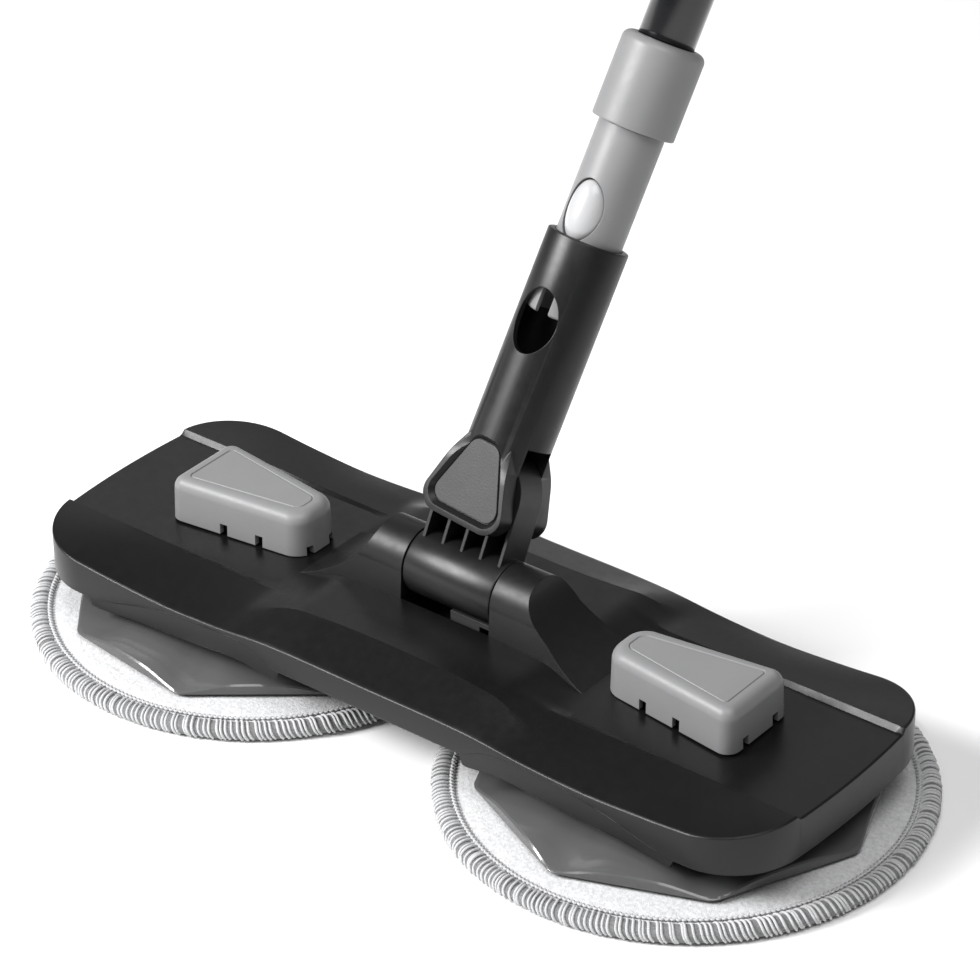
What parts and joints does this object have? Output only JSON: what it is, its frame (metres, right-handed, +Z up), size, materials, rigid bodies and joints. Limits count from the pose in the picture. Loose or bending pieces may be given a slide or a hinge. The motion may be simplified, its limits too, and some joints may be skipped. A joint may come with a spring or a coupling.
{
  "type": "twin-disc spin mop",
  "caption": "Flat mop head with turning microfibre pads side by side, motor covers, a tilting and rolling neck, and a telescopic pole with a grip.",
  "frame": {"origin": "on the floor under the middle of the bounding box", "axes": "+Z up, +X along the head's long side towards its right pad, +Y to the rear, where the handle leans"},
  "size_m": [0.3948, 0.4906, 0.7494],
  "materials": {
    "top_shell": "satin",
    "bottom_cover": "satin",
    "cover_screw_1": "bright",
    "cover_screw_2": "bright",
    "cover_screw_3": "bright",
    "cover_screw_4": "bright",
    "cover_screw_5": "bright",
    "cover_screw_6": "bright",
    "battery_pack": "film",
    "control_board": "satin",
    "charge_socket": "matt",
    "hinge_pin": "bright",
    "brake_spring": "bright",
    "guard_ring_left": "satin",
    "guard_ring_right": "satin",
    "gearbox_left": "satin",
    "gearbox_right": "satin",
    "spindle_bush_left": "bright",
    "spindle_bush_right": "bright",
    "motor_left": "bright",
    "motor_right": "bright",
    "motor_cover_left": "satin",
    "motor_cover_right": "satin",
    "spindle_left": "bright",
    "drive_plate_left": "gloss",
    "hook_ring_left": "hook tape",
    "mop_pad_left": "pile",
    "spindle_right": "bright",
    "drive_plate_right": "gloss",
    "hook_ring_right": "hook tape",
    "mop_pad_right": "pile",
    "knuckle": "satin",
    "neck_yoke": "satin",
    "roll_pin": "bright",
    "pole_adapter": "satin",
    "pole_collar": "satin",
    "lower_tube": "gloss paint",
    "lock_collar": "satin",
    "button_spring": "bright",
    "release_button": "gloss",
    "upper_tube": "gloss paint",
    "grip": "satin",
    "grip_cap": "satin",
    "power_button": "satin",
    "brake_shoe": "satin"
  },
  "bodies": {
    "head": {"top_shell": "top_shell", "bottom_cover": "bottom_cover", "cover_screw_1": "cover_screw_1", "cover_screw_2": "cover_screw_2", "cover_screw_3": "cover_screw_3", "cover_screw_4": "cover_screw_4", "cover_screw_5": "cover_screw_5", "cover_screw_6": "cover_screw_6", "battery_pack": "battery_pack", "control_board": "control_board", "charge_socket": "charge_socket", "hinge_pin": "hinge_pin", "brake_spring": "brake_spring", "guard_ring_left": "guard_ring_left", "guard_ring_right": "guard_ring_right", "gearbox_left": "gearbox_left", "gearbox_right": "gearbox_right", "spindle_bush_left": "spindle_bush_left", "spindle_bush_right": "spindle_bush_right", "motor_left": "motor_left", "motor_right": "motor_right", "motor_cover_left": "motor_cover_left", "motor_cover_right": "motor_cover_right"},
    "disc_left": {"spindle_left": "spindle_left", "drive_plate_left": "drive_plate_left", "hook_ring_left": "hook_ring_left", "mop_pad_left": "mop_pad_left"},
    "disc_right": {"spindle_right": "spindle_right", "drive_plate_right": "drive_plate_right", "hook_ring_right": "hook_ring_right", "mop_pad_right": "mop_pad_right"},
    "knuckle": {"knuckle": "knuckle"},
    "neck": {"neck_yoke": "neck_yoke", "roll_pin": "roll_pin"},
    "pole": {"pole_adapter": "pole_adapter", "pole_collar": "pole_collar", "lower_tube": "lower_tube", "lock_collar": "lock_collar", "button_spring": "button_spring"},
    "release_button": {"release_button": "release_button"},
    "upper_pole": {"upper_tube": "upper_tube", "grip": "grip", "grip_cap": "grip_cap"},
    "power_button": {"power_button": "power_button"},
    "brake_shoe": {"brake_shoe": "brake_shoe"}
  },
  "joints": [
    {"name": "left_disc_spin", "type": "hinge", "parent": "head", "child": "disc_left", "pos_m": [-0.1026, -0.15116, 0], "axis": [0, 0, 1], "continuous": true},
    {"name": "right_disc_spin", "type": "hinge", "parent": "head", "child": "disc_right", "pos_m": [0.1026, -0.15116, 0], "axis": [0, 0, 1], "continuous": true},
    {"name": "handle_pitch", "type": "hinge", "parent": "head", "child": "knuckle", "pos_m": [0, -0.15116, 0.0545], "axis": [1, 0, 0], "range_deg": [-45, 29]},
    {"name": "neck_roll", "type": "hinge", "parent": "knuckle", "child": "neck", "pos_m": [0, -0.13627, 0.08399], "axis": [0, 0.8712, -0.4909], "range_deg": [-44.9, 35.1]},
    {"name": "pole_lift", "type": "slide", "parent": "neck", "child": "pole", "axis": [0.0854, 0.4891, 0.868], "range_m": [-0.0445, 0.06]},
    {"name": "upper_pole_slide", "type": "slide", "parent": "pole", "child": "upper_pole", "axis": [0.0854, 0.4891, 0.868], "range_m": [0, 0.3]},
    {"name": "release_press", "type": "slide", "parent": "pole", "child": "release_button", "axis": [0, 0.8712, -0.4909], "range_m": [0, 0.003], "stiffness_N_per_m": 400, "springref_m": -0.001, "deforming": ["button_spring"]},
    {"name": "power_press", "type": "slide", "parent": "head", "child": "power_button", "axis": [0, -1, 0], "range_m": [0, 0.001], "stiffness_N_per_m": 400, "springref_m": -0.001},
    {"name": "brake_press", "type": "slide", "parent": "head", "child": "brake_shoe", "axis": [0, 0, -1], "range_m": [0, 0.0015], "stiffness_N_per_m": 900, "springref_m": -0.001, "deforming": ["brake_spring"]}
  ]
}
